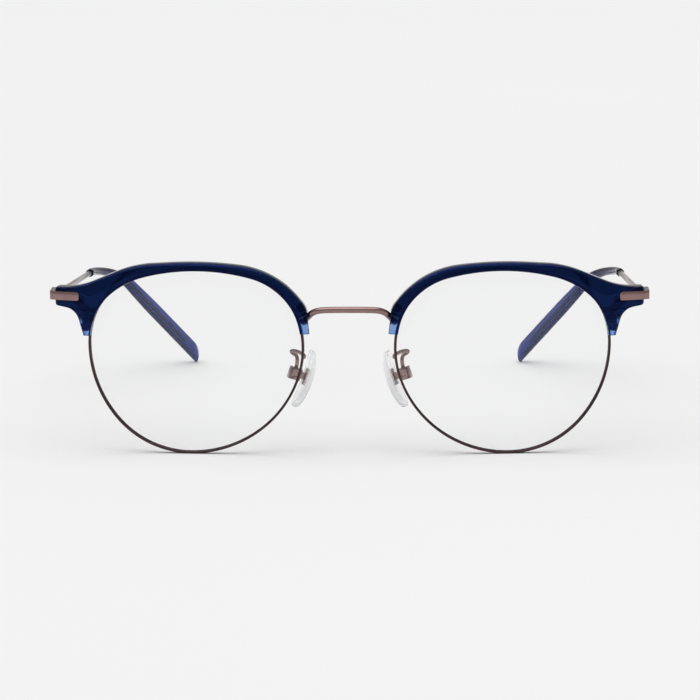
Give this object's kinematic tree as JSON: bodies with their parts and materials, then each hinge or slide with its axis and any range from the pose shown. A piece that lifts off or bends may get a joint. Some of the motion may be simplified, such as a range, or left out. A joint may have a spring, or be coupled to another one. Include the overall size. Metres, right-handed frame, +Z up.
{
  "type": "browline glasses",
  "caption": "Open browline glasses: rounded lenses in thin metal rims, translucent acetate brows, rocking nose pads and folding wire temples with acetate tips.",
  "frame": {"origin": "middle of the bounding box at the floor, between the lower edges of the rims and the temple tips", "axes": "+X is the wearer's left, +Y runs back along the open temples, +Z is up"},
  "size_m": [0.141, 0.1308, 0.0456],
  "materials": {
    "brow_acetate": "polished dark navy translucent acetate",
    "tip_acetate": "polished clear blue acetate",
    "bar_metal": "satin brown plating",
    "rim_metal": "satin dark brown plating",
    "screw_metal": "machined",
    "clear_lens": "clear",
    "clear_pad": "clear soft silicone"
  },
  "bodies": {
    "front": {"bridge": "bar_metal", "lens_left": "clear_lens", "lens_right": "clear_lens", "rim_left": "rim_metal", "rim_right": "rim_metal", "brow_left": "brow_acetate", "brow_right": "brow_acetate", "closing_block_upper_left": "rim_metal", "closing_block_upper_right": "rim_metal", "closing_block_lower_left": "rim_metal", "closing_block_lower_right": "rim_metal", "rim_screw_left": "screw_metal", "rim_screw_right": "screw_metal", "brow_lug_left": "rim_metal", "brow_lug_right": "rim_metal", "brow_screws_left": "screw_metal", "brow_screws_right": "screw_metal", "endpiece_left": "bar_metal", "endpiece_right": "bar_metal", "front_hinge_left": "bar_metal", "front_hinge_right": "bar_metal", "hinge_screw_left": "screw_metal", "hinge_screw_right": "screw_metal", "pad_arm_left": "bar_metal", "pad_arm_right": "bar_metal", "pad_box_left": "bar_metal", "pad_box_right": "bar_metal", "pad_screw_left": "screw_metal", "pad_screw_right": "screw_metal"},
    "temple_left": {"temple_hinge_left": "bar_metal", "temple_left": "bar_metal", "temple_tip_left": "tip_acetate"},
    "temple_right": {"temple_hinge_right": "bar_metal", "temple_right": "bar_metal", "temple_tip_right": "tip_acetate"},
    "pad_left": {"pad_stud_left": "screw_metal", "nose_pad_left": "clear_pad"},
    "pad_right": {"pad_stud_right": "screw_metal", "nose_pad_right": "clear_pad"}
  },
  "joints": [
    {"name": "temple_fold_left", "type": "hinge", "parent": "front", "child": "temple_left", "pos_m": [0.06815, -0.05224, 0.03655], "axis": [0, 0, 1], "range_deg": [0, 79]},
    {"name": "temple_fold_right", "type": "hinge", "parent": "front", "child": "temple_right", "pos_m": [-0.06815, -0.05224, 0.03655], "axis": [0, 0, -1], "range_deg": [0, 73]},
    {"name": "pad_rock_left", "type": "hinge", "parent": "front", "child": "pad_left", "pos_m": [0.0129, -0.05597, 0.0182], "axis": [0.2079, 0.9781, 0], "range_deg": [-8, 8]},
    {"name": "pad_rock_right", "type": "hinge", "parent": "front", "child": "pad_right", "pos_m": [-0.0129, -0.05597, 0.0182], "axis": [-0.2079, 0.9781, 0], "range_deg": [-8, 8]}
  ]
}
